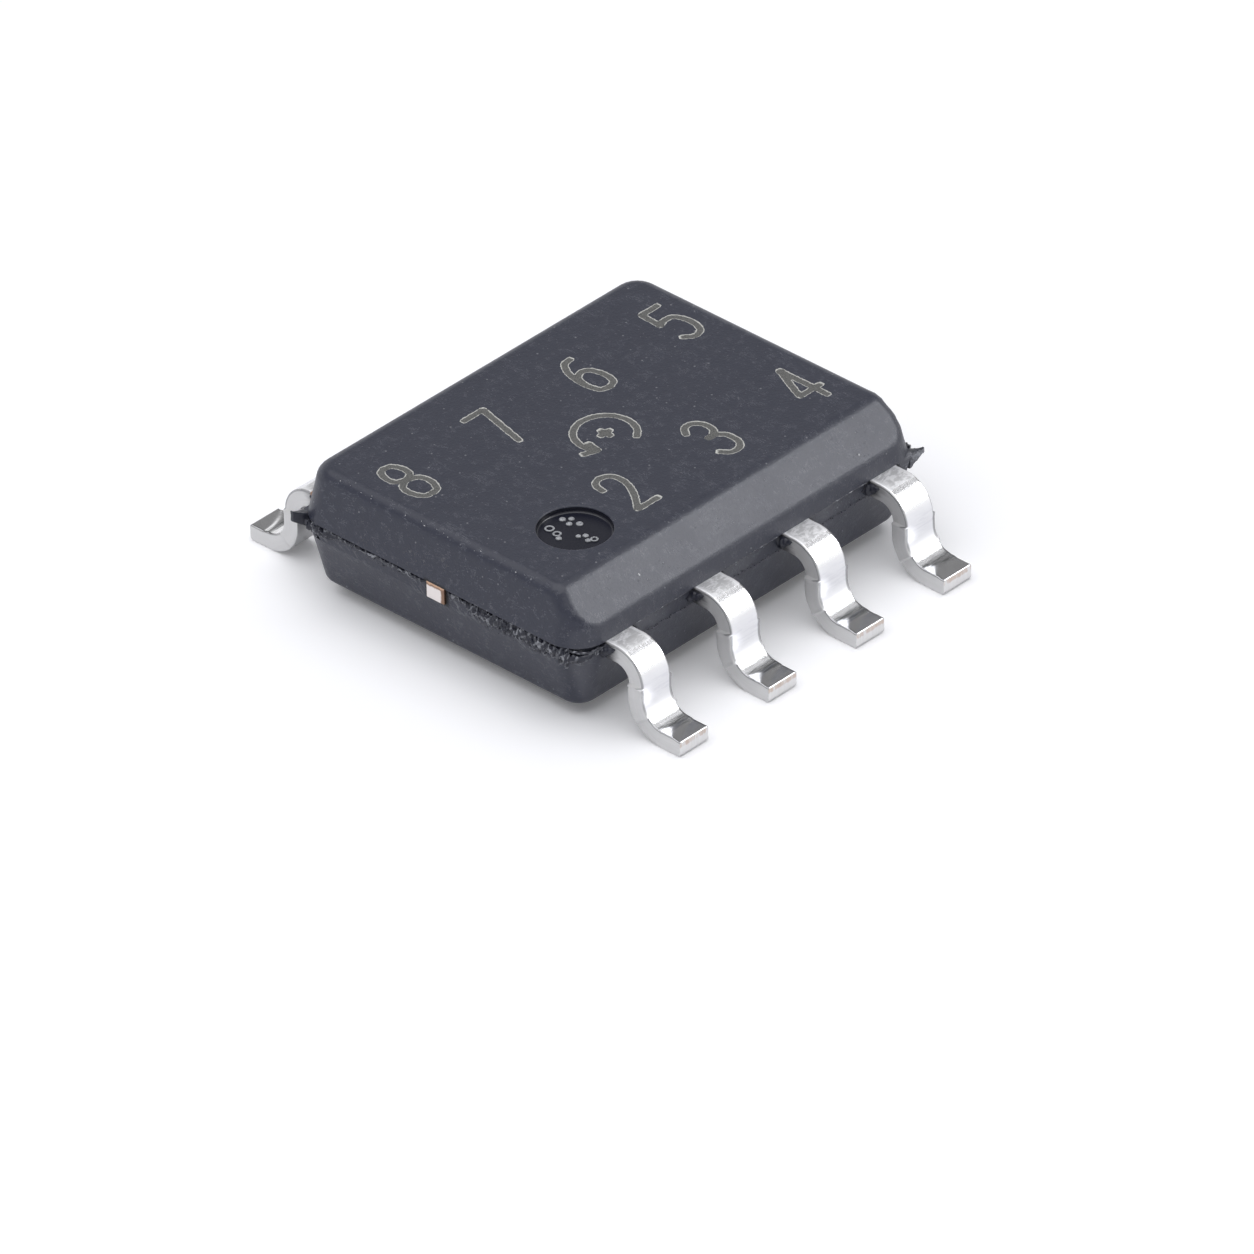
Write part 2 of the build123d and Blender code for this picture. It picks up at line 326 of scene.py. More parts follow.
def tin_finish():
    """Tin plate on a formed lead: dull by the housing, drawn lines on the leg, burnished on the foot."""
    made = Finish("tin plate")
    across, along, _ = made.split(made.sheet())
    shift = made.x * 3 + made.y
    cross = made.noise(made.joined(across * 2.2, along * 30, shift), 1.0, 4, 0.65, 0.3)
    drawn = made.noise(made.joined(across * 40, along * 2.4, shift), 1.0, 4, 0.65)
    cloud = made.noise(made.at, 5, 4, 0.6)
    fine = made.noise(made.at, 48, 3, 0.6)
    wave = made.noise(made.joined(across * 10, along * 3, shift), 1.0, 3, 0.6) - 0.5
    side = abs(across).between(0.192, 0.206)
    top = 1 - side
    under = abs(across).between(0.385, 0.40)
    edge_shade_line = abs(across).between(0.172, 0.186) * abs(across).between(0.214, 0.200)
    reach = along + 0.05 * wave
    exit_zone = reach.between(0.258, 0.250) * top
    resin = side * (along + 0.25 * wave).between(0.24, 0.05) * (1 - under)
    ridge = reach.between(0.238, 0.250) * reach.between(0.282, 0.262) * top
    middle = abs(across).between(0.165, 0.125)
    leg_zone = along.between(0.42, 0.60) * along.between(1.02, 0.90) * top
    leg_painted_shade = along.between(0.42, 0.60) * along.between(0.84, 0.66) * top
    foot_zone = along.between(1.04, 1.20) * top
    inner_foot = along.between(1.10, 1.18) * along.between(1.33, 1.27) * top
    smudge = made.noise(made.joined(across * 7, along * 16, shift), 1.0, 4, 0.7, 0.5)
    soot = exit_zone * middle * smudge.between(0.40, 0.58)
    colour = made.mix(cloud, (0.82, 0.82, 0.84, 1), (0.90, 0.90, 0.915, 1))
    colour = made.mix(0.6 * soot, colour, (0.34, 0.34, 0.345, 1))
    colour = made.mix(0.30 * exit_zone * drawn.between(0.45, 0.6), colour, (0.60, 0.60, 0.61, 1))
    # Painted shade: the upper leg is darkened and tinted lavender, patchily along the drawn streaks
    colour = made.mix(leg_painted_shade * (0.12 + 0.30 * cross.between(0.48, 0.62)), colour, (0.66, 0.66, 0.70, 1))
    # Painted reflection: a dark streaked band across the inner foot stands in for the body reflected there
    streaked = 0.25 + 0.75 * cross.between(0.47, 0.56)
    colour = made.mix(inner_foot * streaked * 0.8, colour, (0.34, 0.35, 0.36, 1))
    colour = made.mix(side * (0.45 + 0.35 * drawn), colour, (0.60, 0.595, 0.585, 1))
    # Painted shade: a dark line along each edge of the lead's top face
    colour = made.mix(0.7 * edge_shade_line, colour, (0.20, 0.20, 0.21, 1))
    colour = made.mix(0.92 * resin, colour, (0.030, 0.031, 0.038, 1))
    bare = made.attribute("bare") * made.noise(made.at, 9, 3, 0.6).between(0.40, 0.50)
    colour = made.mix(bare, colour, (0.32, 0.21, 0.15, 1))
    height = (
        0.5 * fine * (1 - foot_zone)
        + 1.0 * cross * leg_zone
        + 0.9 * drawn * exit_zone
        + 0.9 * smudge * exit_zone
        + 0.4 * ridge
        + 0.9 * drawn * side
        + 0.5 * cross * inner_foot
        + 0.25 * made.noise(made.at, 12, 2, 0.5)
    )
    rough = 0.25 + 0.17 * exit_zone + 0.19 * leg_zone - 0.09 * foot_zone + 0.24 * side + 0.08 * (cloud - 0.5)
    return made.surface(
        bump=height,
        depth=0.0012,
        Base_Color=colour,
        Roughness=rough,
        Metallic=1.0 - 0.35 * exit_zone - 0.45 * side * (1 - under) - 0.5 * resin,
    )


def cut_end_finish():
    """A sheared toe: a bare copper band under the plated upper edge, and tin dragged over the rest."""
    made = Finish("sheared end")
    smear = made.noise(made.scaled(made.at, (5, 5, 1.2)), 4, 4, 0.7)
    grain = made.noise(made.scaled(made.at, (30, 30, 4)), 1, 4, 0.7)
    height = made.z + 0.05 * (smear - 0.5)
    bare = height.between(0.108, 0.128) * height.between(0.174, 0.166)
    copper = made.mix(grain, (0.52, 0.40, 0.33, 1), (0.68, 0.56, 0.48, 1))
    tin = made.mix(grain, (0.70, 0.69, 0.68, 1), (0.86, 0.86, 0.87, 1))
    colour = made.mix(bare * smear.between(0.36, 0.56) * 0.8, tin, copper)
    # Painted shade: a thin dark line along the top edge of the cut face
    colour = made.mix(made.z.between(0.176, 0.184) * 0.6, colour, (0.25, 0.24, 0.24, 1))
    return made.surface(
        bump=grain, depth=0.0016, Base_Color=colour, Roughness=0.32 + 0.12 * smear, Metallic=0.9
    )


def tie_bar_finish():
    """Copper alloy of the island, with the sheared tie-bar end partly whitened."""
    made = Finish("copper alloy")
    grain = made.noise(made.scaled(made.at, (6, 40, 6)), 1, 4, 0.6)
    cloud = made.noise(made.at, 4, 3, 0.5)
    smear = made.noise(made.at, 16, 3, 0.6)
    end = abs(made.x).between(2.40, 2.46)
    face = made.z + 0.05 * (smear - 0.5)
    white = end * face.between(0.905, 0.885) * (made.y + 0.03 * (smear - 0.5)).between(-0.088, -0.068)
    rim = end * (1 - white) * face.between(0.925, 0.905)
    colour = made.mix(cloud, (0.50, 0.31, 0.21, 1), (0.70, 0.47, 0.33, 1))
    colour = made.mix(0.75 * rim, colour, (0.16, 0.10, 0.075, 1))
    colour = made.mix(0.9 * white, colour, (0.88, 0.84, 0.83, 1))
    return made.surface(
        bump=grain, depth=0.0012, Base_Color=colour, Roughness=0.26 + 0.12 * grain, Metallic=0.95
    )


def adhesive_finish():
    """Silver-filled die adhesive."""
    made = Finish("die adhesive")
    flakes, _ = made.cells(made.at, 60)
    grain = made.noise(made.at, 30, 3, 0.6)
    colour = made.mix(flakes.between(0.1, 0.6), (0.46, 0.45, 0.42, 1), (0.70, 0.69, 0.66, 1))
    return made.surface(
        bump=grain, depth=0.002, Base_Color=colour, Roughness=0.45 + 0.2 * grain, Metallic=0.5
    )


def silicon_finish():
    """The die: bare silicon with a fine circuit texture, and aluminium pads by its long edges."""
    made = Finish("silicon")
    circuit = made.start.node(
        "ShaderNodeTexBrick",
        {"offset": 0.5},
        {
            "Vector": made.at,
            "Scale": 9.0,
            "Mortar Size": 0.03,
            "Color1": (0.2, 0.2, 0.2, 1),
            "Color2": (0.8, 0.8, 0.8, 1),
        },
        output=1,
    )
    grain = made.noise(made.at, 20, 3, 0.5)
    near_edge = abs(made.y).between(0.555, 0.565) * abs(made.y).between(0.645, 0.635)
    inner_pads = abs(abs(made.x) - 0.28).between(0.05, 0.04)
    outer_pads = abs(abs(made.x) - 0.75).between(0.05, 0.04)
    pads = near_edge * (inner_pads + outer_pads)
    colour = made.mix(grain, (0.10, 0.12, 0.17, 1), (0.16, 0.17, 0.22, 1))
    colour = made.mix(0.35 * circuit, colour, (0.28, 0.22, 0.32, 1))
    colour = made.mix(pads.least(1.0), colour, (0.80, 0.80, 0.80, 1))
    return made.surface(
        bump=circuit, depth=0.0005, Base_Color=colour, Roughness=0.22 + 0.1 * grain, Metallic=0.6
    )


def gold_finish():
    """Drawn gold wire."""
    made = Finish("gold wire")
    drawn = made.noise(made.scaled(made.at, (60, 60, 6)), 1, 3, 0.6)
    colour = made.mix(drawn, (0.78, 0.54, 0.22, 1), (0.90, 0.68, 0.33, 1))
    return made.surface(
        bump=drawn, depth=0.0004, Base_Color=colour, Roughness=0.2 + 0.1 * drawn, Metallic=1.0
    )


def dust_finish():
    """Pale dust and resin crumbs lying on the housing."""
    made = Finish("pale crumbs")
    grain = made.noise(made.at, 90, 3, 0.6)
    colour = made.mix(grain, (0.62, 0.62, 0.64, 1), (0.92, 0.92, 0.93, 1))
    return made.surface(bump=grain, depth=0.002, Base_Color=colour, Roughness=0.5 + 0.2 * grain)


def floor_finish():
    """A pale floor, seen a little lighter than its lamps make it, so that the background is white."""
    made = Finish("pale floor")
    cloud = made.noise(made.at, 0.02, 2, 0.5)
    colour = made.mix(cloud, (0.945, 0.945, 0.955, 1), (0.955, 0.955, 0.965, 1))
    path = made.start.node("ShaderNodeLightPath")
    lift = made.mix(path, (0, 0, 0, 1), (0.10, 0.10, 0.10, 1))
    return made.surface(
        Base_Color=colour,
        Roughness=0.9 + 0.05 * cloud,
        Specular_IOR_Level=0.0,
        Emission_Color=lift,
        Emission_Strength=1.0,
    )


mould = mould_finish()
dimple = dimple_finish()
dotted = raised_dot_finish()
marked = mark_finish()
torn = flash_finish()
tin = tin_finish()
sheared = cut_end_finish()
copper = tie_bar_finish()
dusty = dust_finish()

# Places of the housing's finishes in its list of materials
MOULD, DIMPLE, MARK, DOT = range(4)


def piece_from(bm, name, materials):
    """A finished object from a mesh drawn in millimetres."""
    bmesh.ops.scale(bm, vec=(MM, MM, MM), verts=bm.verts)
    mesh = bpy.data.meshes.new(name)
    bm.to_mesh(mesh)
    bm.free()
    for material in materials:
        mesh.materials.append(material)
    made = bpy.data.objects.new(name, mesh)
    bpy.context.scene.collection.objects.link(made)
    return made


def welded(node):
    """A welded copy of a CAD node's mesh, in millimetres."""
    bm = bmesh.new()
    bm.from_mesh(nodes[node].data)
    bmesh.ops.scale(bm, vec=(1 / MM, 1 / MM, 1 / MM), verts=bm.verts)
    bmesh.ops.remove_doubles(bm, verts=bm.verts, dist=1e-4)
    for face in bm.faces:
        face.material_index = 0
        face.smooth = False
    return bm


def smooth_line(points, step):
    """Points at even steps along a smooth curve through the given ones."""
    found = []
    ends = [2 * points[0] - points[1], *points, 2 * points[-1] - points[-2]]
    for before, a, b, after in zip(ends, ends[1:], ends[2:], ends[3:]):
        count = max(2, round((b - a).length / step))
        for k in range(count):
            t = k / count
            found.append(
                0.5
                * (
                    2 * a
                    + (b - before) * t
                    + (2 * before - 5 * a + 4 * b - after) * t**2
                    + (3 * a - before - 3 * b + after) * t**3
                )
            )
    return [*found, points[-1]]


# Strokes of the plain pin numbers, in a cell from -0.5 to 0.5 across and 0 to 1 up. A stroke with two
# points is straight, and one with more is a smooth curve through them.
NUMBER_STROKES = {
    2: [
        [(-0.46, 0.72), (-0.36, 0.92), (0, 1), (0.38, 0.90), (0.42, 0.66), (0.16, 0.38), (-0.48, 0)],
        [(-0.48, 0), (0.48, 0)],
    ],
    3: [
        [(-0.44, 0.84), (-0.2, 0.98), (0.14, 0.99), (0.4, 0.86), (0.38, 0.64), (0.12, 0.54), (-0.1, 0.53)],
        [(-0.1, 0.53), (0.2, 0.52), (0.46, 0.38), (0.44, 0.14), (0.16, 0.01), (-0.2, 0.02), (-0.46, 0.16)],
    ],
    4: [[(0.2, 0), (0.2, 1)], [(0.2, 1), (-0.5, 0.28)], [(-0.5, 0.28), (0.5, 0.28)]],
    5: [
        [(0.42, 1), (-0.36, 1)],
        [(-0.36, 1), (-0.42, 0.58)],
        [(-0.42, 0.58), (-0.1, 0.64), (0.28, 0.60), (0.46, 0.34), (0.32, 0.08), (-0.06, 0), (-0.46, 0.12)],
    ],
    6: [
        [(0.36, 0.97), (0.0, 0.93), (-0.3, 0.72), (-0.44, 0.38), (-0.34, 0.08), (0, 0)],
        [(0, 0), (0.36, 0.08), (0.44, 0.32), (0.3, 0.54), (0, 0.60), (-0.3, 0.52), (-0.42, 0.38)],
    ],
    7: [[(-0.46, 1), (0.46, 1)], [(0.46, 1), (-0.08, 0)]],
    8: [
        [(0, 0.54), (-0.34, 0.62), (-0.40, 0.80), (-0.24, 0.96), (0, 1)],
        [(0, 1), (0.24, 0.96), (0.40, 0.80), (0.34, 0.62), (0, 0.54)],
        [(0, 0.54), (-0.4, 0.44), (-0.48, 0.24), (-0.3, 0.04), (0, 0)],
        [(0, 0), (0.3, 0.04), (0.48, 0.24), (0.4, 0.44), (0, 0.54)],
    ],
}
mark_height = 0.66
mark_width = 0.30
stroke_width = 0.085
stroke_step = 0.018
upper_row = 0.56
lower_row = -1.16
turn_centre = Vector((0.0, 0.02))
turn_radius = 0.32


def mark_lines():
    """Centre lines of every marked stroke: the pin numbers, and a turning arrow round the sensing point."""
    rows = [
        (upper_row, {8: -1.5, 7: -0.5, 6: 0.5, 5: 1.5}),
        (lower_row, {2: -0.5, 3: 0.5, 4: 1.5}),
    ]
    lines = []
    for base, numbers in rows:
        for number, place in numbers.items():
            for stroke in NUMBER_STROKES[number]:
                points = [
                    Vector((place * lead_pitch + x * mark_width, base + y * mark_height)) for x, y in stroke
                ]
                lines.append(smooth_line(points, stroke_step))
    turn = []
    for k in range(13):
        angle = math.radians(-60 + 270 * k / 12)
        turn.append(turn_centre + turn_radius * Vector((math.cos(angle), math.sin(angle))))
    lines.append(smooth_line(turn, stroke_step))
    tip = turn[-1]
    for barb in (Vector((-0.15, 0.06)), Vector((0.03, 0.16))):
        lines.append(smooth_line([tip, tip + barb], stroke_step))
    for arm in (Vector((0.07, 0)), Vector((0, 0.07))):
        lines.append(smooth_line([turn_centre - arm, turn_centre + arm], stroke_step))
    return lines


def stroke_outline(line, chance):
    """Outline of one stroke, with the slightly ragged edge that the laser leaves."""
    left, right = [], []
    for k, point in enumerate(line):
        ahead = line[min(k + 1, len(line) - 1)] - line[max(k - 1, 0)]
        across = Vector((-ahead.y, ahead.x)).normalized() * stroke_width / 2
        left.append(point + across * chance.uniform(0.88, 1.10))
        right.append(point - across * chance.uniform(0.88, 1.10))

    def cap(centre, a, b):
        """Two points that round off an end from a to b."""
        out = Vector(((b - a).y, -(b - a).x)) * -0.36
        return [centre + (a - centre) * 0.62 + out, centre + (b - centre) * 0.62 + out]

    return left + cap(line[-1], left[-1], right[-1]) + right[::-1] + cap(line[0], right[0], left[0])


def boundary_loops(bm):
    """The open edges of a mesh as ordered loops of vertices."""
    open_edges = {edge for edge in bm.edges if len(edge.link_faces) == 1}
    loops = []
    while open_edges:
        edge = open_edges.pop()
        loop = [edge.verts[0], edge.verts[1]]
        while True:
            following = next((e for e in loop[-1].link_edges if e in open_edges), None)
            if following is None:
                break
            open_edges.discard(following)
            loop.append(following.other_vert(loop[-1]))
        loops.append(loop[:-1] if loop[0] == loop[-1] else loop)
    return loops


def turned_left(loop, place):
    """The loop in the order that runs anticlockwise seen from above."""
    area = 0.0
    for a, b in zip(loop, [*loop[1:], loop[0]]):
        area += place(a).x * place(b).y - place(a).y * place(b).x
    return loop if area > 0 else loop[::-1]


def ring(bm, centre, radius, height, count):
    """A level circle of vertices."""
    turns = [2 * math.pi * k / count for k in range(count)]
    return [
        bm.verts.new((centre[0] + radius * math.cos(t), centre[1] + radius * math.sin(t), height))
        for t in turns
    ]


def join_rings(bm, rings, slot=MOULD):
    """A band of faces between each two rings."""
    count = len(rings[0])
    for a, b in zip(rings, rings[1:]):
        for k in range(count):
            face = bm.faces.new((a[k], a[(k + 1) % count], b[(k + 1) % count], b[k]))
            face.material_index = slot


def close_tube(bm, rings):
    """A band of faces between each two rings, and a face over each end."""
    join_rings(bm, rings)
    bm.faces.new(rings[0])
    bm.faces.new(rings[-1])


def sink_dimple(bm):
    """The pin-1 dimple with its rounded rim, its wall, a small cove and its level floor."""
    rims = []
    for k in range(6):
        angle = math.radians(90 * k / 5)
        radius = dimple_radius + dimple_edge * (1 - math.sin(angle))
        height = housing_top - dimple_edge * (1 - math.cos(angle))
        rims.append(ring(bm, dimple_centre, radius, height, 128))
    join_rings(bm, rims)
    wall = [rims[-1]]
    for k in range(6):
        angle = math.radians(90 * k / 5)
        radius = dimple_radius - 0.004 - dimple_cove * (1 - math.cos(angle))
        height = dimple_floor + dimple_cove * (1 - math.sin(angle))
        wall.append(ring(bm, dimple_centre, radius, height, 128))
    join_rings(bm, wall, DIMPLE)
    floor = bm.faces.new(wall[-1])
    floor.material_index = DIMPLE
    return rims[0]


def raise_dots(bm):
    """Small dots and rings left standing on the dimple's floor by the mould's own pin."""
    for x, y, radius in dimple_dots:
        dome = []
        for k in range(5):
            angle = math.radians(90 * k / 5)
            height = dimple_floor - 0.001 + 0.020 * math.sin(angle)
            dome.append(ring(bm, (x, y), radius * math.cos(angle), height, 20))
        join_rings(bm, dome, DOT)
        bm.faces.new(dome[-1]).material_index = DOT
        bm.faces.new(dome[0][::-1]).material_index = DOT
    for x, y, radius in dimple_rings:
        tube = []
        for k in range(8):
            angle = 2 * math.pi * k / 8
            height = dimple_floor + 0.002 + 0.014 * math.sin(angle)
            tube.append(ring(bm, (x, y), radius + 0.013 * math.cos(angle), height, 24))
        join_rings(bm, [*tube, tube[0]], DOT)


def mark_top(bm):
    """Replaces the flat top with one that carries the marking, cut a few thousandths deep."""
    rim = bm.verts.layers.float.new("rim")
    flat = [f for f in bm.faces if f.normal.z > 0.9999 and f.calc_center_median().z > housing_top - 0.001]
    sunk = []
    for face in bm.faces:
        centre = face.calc_center_median()
        reach = (centre.xy - Vector(dimple_centre)).length
        if dimple_floor - 0.01 < centre.z < housing_top and reach < dimple_radius + dimple_edge:
            sunk.append(face)
    bmesh.ops.delete(bm, geom=list({*flat, *sunk}), context="FACES")
    loops = sorted(boundary_loops(bm), key=lambda loop: -max(v.co.x for v in loop))[:1]
    loops.append(sink_dimple(bm))
    chance = random.Random(11)
    points, owners, faces = [], [], []
    for loop in loops:
        loop = turned_left(loop, lambda v: v.co)
        faces.append(list(range(len(points), len(points) + len(loop))))
        points += [v.co.xy.copy() for v in loop]
        owners += loop
    for line in mark_lines():
        outline = turned_left(stroke_outline(line, chance), lambda point: point)
        faces.append(list(range(len(points), len(points) + len(outline))))
        points += outline
        for a, b in zip(line, line[1:]):
            across = Vector((a.y - b.y, b.x - a.x)).normalized() * stroke_width
            points += [a + across * chance.uniform(0.20, 0.30), a - across * chance.uniform(0.20, 0.30)]
    found, _, triangles, origin, _, inside = delaunay_2d_cdt(points, [], faces, 0, 1e-6)
    marks = [any(k >= len(loops) for k in ids) for ids in inside]
    on_edge = set()
    in_mark = set()
    for corners, is_mark in zip(triangles, marks):
        (in_mark if is_mark else on_edge).update(corners)
    made = []
    for k, place in enumerate(found):
        owner = next((owners[o] for o in origin[k] if o < len(owners)), None)
        if owner is None:
            deep = k in in_mark and k not in on_edge
            owner = bm.verts.new((*place, housing_top - (chance.uniform(0.002, 0.009) if deep else 0)))
            owner[rim] = 0.0 if deep else 1.0
        made.append(owner)
    for corners, ids, is_mark in zip(triangles, inside, marks):
        if 0 not in ids or 1 in ids:
            continue
        face = bm.faces.new([made[c] for c in corners])
        face.material_index = MARK if is_mark else MOULD
        face.normal_update()
        if face.normal.z < 0:
            face.normal_flip()


def set_normals(mesh, true_normals, flat_slots):
    """Shades curved faces smoothly and tangent to the true planes that they run into."""
    count = len(mesh.polygons)
    normals = np.empty(count * 3)
    mesh.polygons.foreach_get("normal", normals)
    normals = normals.reshape(-1, 3)
    planes = np.array([Vector(n).normalized() for n in true_normals])
    nearest = (normals @ planes.T).argmax(1)
    is_plane = (normals @ planes.T).max(1) > math.cos(math.radians(0.4))
    slots = np.empty(count, int)
    mesh.polygons.foreach_get("material_index", slots)
    kept_flat = np.isin(slots, flat_slots)
    around = [[] for _ in mesh.vertices]
    for polygon in mesh.polygons:
        for v in polygon.vertices:
            around[v].append(polygon.index)
    corner_normals = []
    limit = math.cos(math.radians(38))
    for polygon in mesh.polygons:
        own = normals[polygon.index]
        for v in polygon.vertices:
            if is_plane[polygon.index] or kept_flat[polygon.index]:
                corner_normals.append(own)
                continue
            near = [k for k in around[v] if normals[k] @ own > limit and not kept_flat[k]]
            touching = [k for k in near if is_plane[k]]
            if touching:
                best = max(touching, key=lambda k: normals[k] @ own)
                corner_normals.append(planes[nearest[best]])
                continue
            total = sum(normals[k] * mesh.polygons[k].area ** 0.5 for k in near)
            corner_normals.append(total / np.linalg.norm(total))
    mesh.polygons.foreach_set("use_smooth", [True] * count)
    mesh.normals_split_custom_set([tuple(n) for n in corner_normals])


draft = math.radians(draft_angle)
HOUSING_PLANES = [
    (0, 0, 1),
    (0, 0, -1),
    (1, 0, 0),
    (-1, 0, 0),
    (0, 1, 0),
    (0, -1, 0),
    (0, -1, 1),
    *[(s * math.cos(draft), 0, t * math.sin(draft)) for s in (1, -1) for t in (1, -1)],
    *[(0, s * math.cos(draft), t * math.sin(draft)) for s in (1, -1) for t in (1, -1)],
]


def make_housing():
    bm = welded("mold_body")
    # At the short ends the plain fins give way to torn flash, and each tab to a stub under a torn one
    for v in bm.verts:
        if abs(v.co.x) > half_length + 0.001:
            reach = seam_x + 0.003
            if abs(v.co.y) > seam_y - 0.02:
                reach = tab_stub_low if v.co.z < (frame_top + frame_bottom) / 2 else tab_stub_high
            v.co.x = math.copysign(reach, v.co.x)
    mark_top(bm)
    raise_dots(bm)
    bm.normal_update()
    made = piece_from(bm, "housing", [mould, dimple, marked, dotted])
    set_normals(made.data, HOUSING_PLANES, [MARK])
    return made


housing = make_housing()
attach(housing, "root")
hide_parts("mold_body")


def lead_stations():
    """Along a lead to its toe: distance out, height, turn of the top face, length run and width."""
    upper_end = upper_bend_start + upper_bend_radius
    stations = []

    def put(out, height, turn, length, width):
        stations.append((out, height, turn, length, width))

    wall = seam_y
    middle = frame_top - thickness / 2
    step = 0.012
    start = wall - buried_start
    count = round((upper_bend_start - start) / step)
    for k in range(count):
        out = start + (upper_bend_start - start) * k / count
        put(out, middle, 0.0, out - wall, neck_width)
    run = upper_bend_start - wall
    arc = upper_bend_radius * math.pi / 2
    count = round(arc / step)
    for k in range(count):
        turn = math.pi / 2 * k / count
        put(
            upper_bend_start + upper_bend_radius * math.sin(turn),
            middle - upper_bend_radius * (1 - math.cos(turn)),
            turn,
            run + arc * k / count,
            neck_width,
        )
    run += arc
    drop = middle - upper_bend_radius - leg_end_height
    count = round(drop / step)
    for k in range(count):
        fallen = drop * k / count
        put(upper_end, middle - upper_bend_radius - fallen, math.pi / 2, run + fallen, shoulder_width)
    run += drop
    arc = lower_bend_radius * math.pi / 2
    count = round(arc / step)
    for k in range(count):
        turn = math.pi / 2 * k / count
        width = shoulder_width if math.degrees(turn) < shoulder_sweep else foot_width
        put(
            upper_end + lower_bend_radius * (1 - math.cos(turn)),
            leg_end_height - lower_bend_radius * math.sin(turn),
            math.pi / 2 - turn,
            run + arc * k / count,
            width,
        )
    run += arc
    foot = toe_end - upper_end - lower_bend_radius
    count = round((foot - toe_round) / step)
    places = [(foot - toe_round) * k / count for k in range(count)]
    places += [foot - toe_round * (1 - math.sin(math.pi / 2 * k / 8)) for k in range(9)]
    for place in places:
        put(upper_end + lower_bend_radius + place, thickness / 2, 0.0, run + place, foot_width)
    return stations


def section(half, roll):
    """Cross-section of a lead, from the middle of its top round by +across: (across, up)."""
    points = []
    t = thickness / 2
    sharp = 0.008
    flat = half - roll

    def corner(x, z, r, first):
        for k in range(4):
            angle = math.radians(first - 30 * k)
            points.append((x + r * math.cos(angle), z + r * math.sin(angle)))

    points += [(0.0, t), (0.25 * flat, t), (0.5 * flat, t), (0.75 * flat, t), (flat - 0.012, t)]
    corner(flat, t - roll, roll, 90)
    points += [(half, t * f) for f in (0.6, 0.0, -0.6)]
    corner(half - sharp, sharp - t, sharp, 0)
    points += [(half * f, -t) for f in (0.5, 0.0, -0.5)]
    corner(sharp - half, sharp - t, sharp, -90)
    points += [(-half, t * f) for f in (-0.6, 0.0, 0.6)]
    corner(roll - half, t - roll, roll, 180)
    points += [(0.012 - flat, t), (-0.75 * flat, t), (-0.5 * flat, t), (-0.25 * flat, t)]
    return points


def held(value):
    """The value, kept from 0 to 1."""
    return min(1.0, max(0.0, value))


def soft_step(value, low, high):
    """0 up to low, 1 from high on, and a soft step between them."""
    share = held((value - low) / (high - low))
    return share * share * (3 - 2 * share)


def foot_drop(across, length):
    """How far the foot's top is pressed down beyond the curved line where the forming tool stopped."""
    share = (1 - across / (foot_width / 2)) / 2
    line = 1.29 + 0.15 * share**2
    return 0.0105 * soft_step(length, line - 0.028, line + 0.028)


